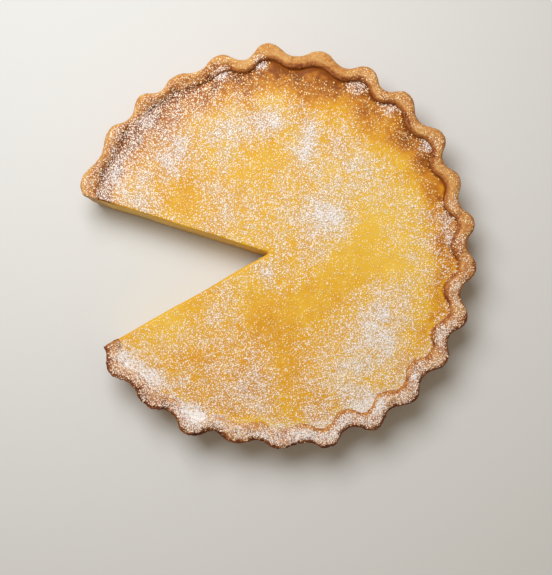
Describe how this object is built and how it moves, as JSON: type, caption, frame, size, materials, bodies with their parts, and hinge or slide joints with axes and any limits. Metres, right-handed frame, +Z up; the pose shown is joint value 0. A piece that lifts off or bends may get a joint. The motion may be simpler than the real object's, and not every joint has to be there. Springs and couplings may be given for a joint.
{
  "type": "buttermilk pie",
  "caption": "Fluted shortcrust tart shell filled with baked buttermilk custard, with one slice cut out, dusted with icing sugar.",
  "frame": {"origin": "centre of the shell's flat round underside, as it was before the slice was cut; the pie stands on the plane z = 0", "axes": "+Z up through the pie's thickness, +X and +Y across it; the missing slice points towards -X"},
  "size_m": [0.2289, 0.2345, 0.0317],
  "materials": {
    "crust": "matt baked shortcrust, browner at the crests",
    "filling": "satin set custard with a lightly browned skin",
    "icing_sugar": "matt fine white powder"
  },
  "bodies": {
    "root": {"crust": "crust", "filling": "filling"}
  },
  "joints": []
}
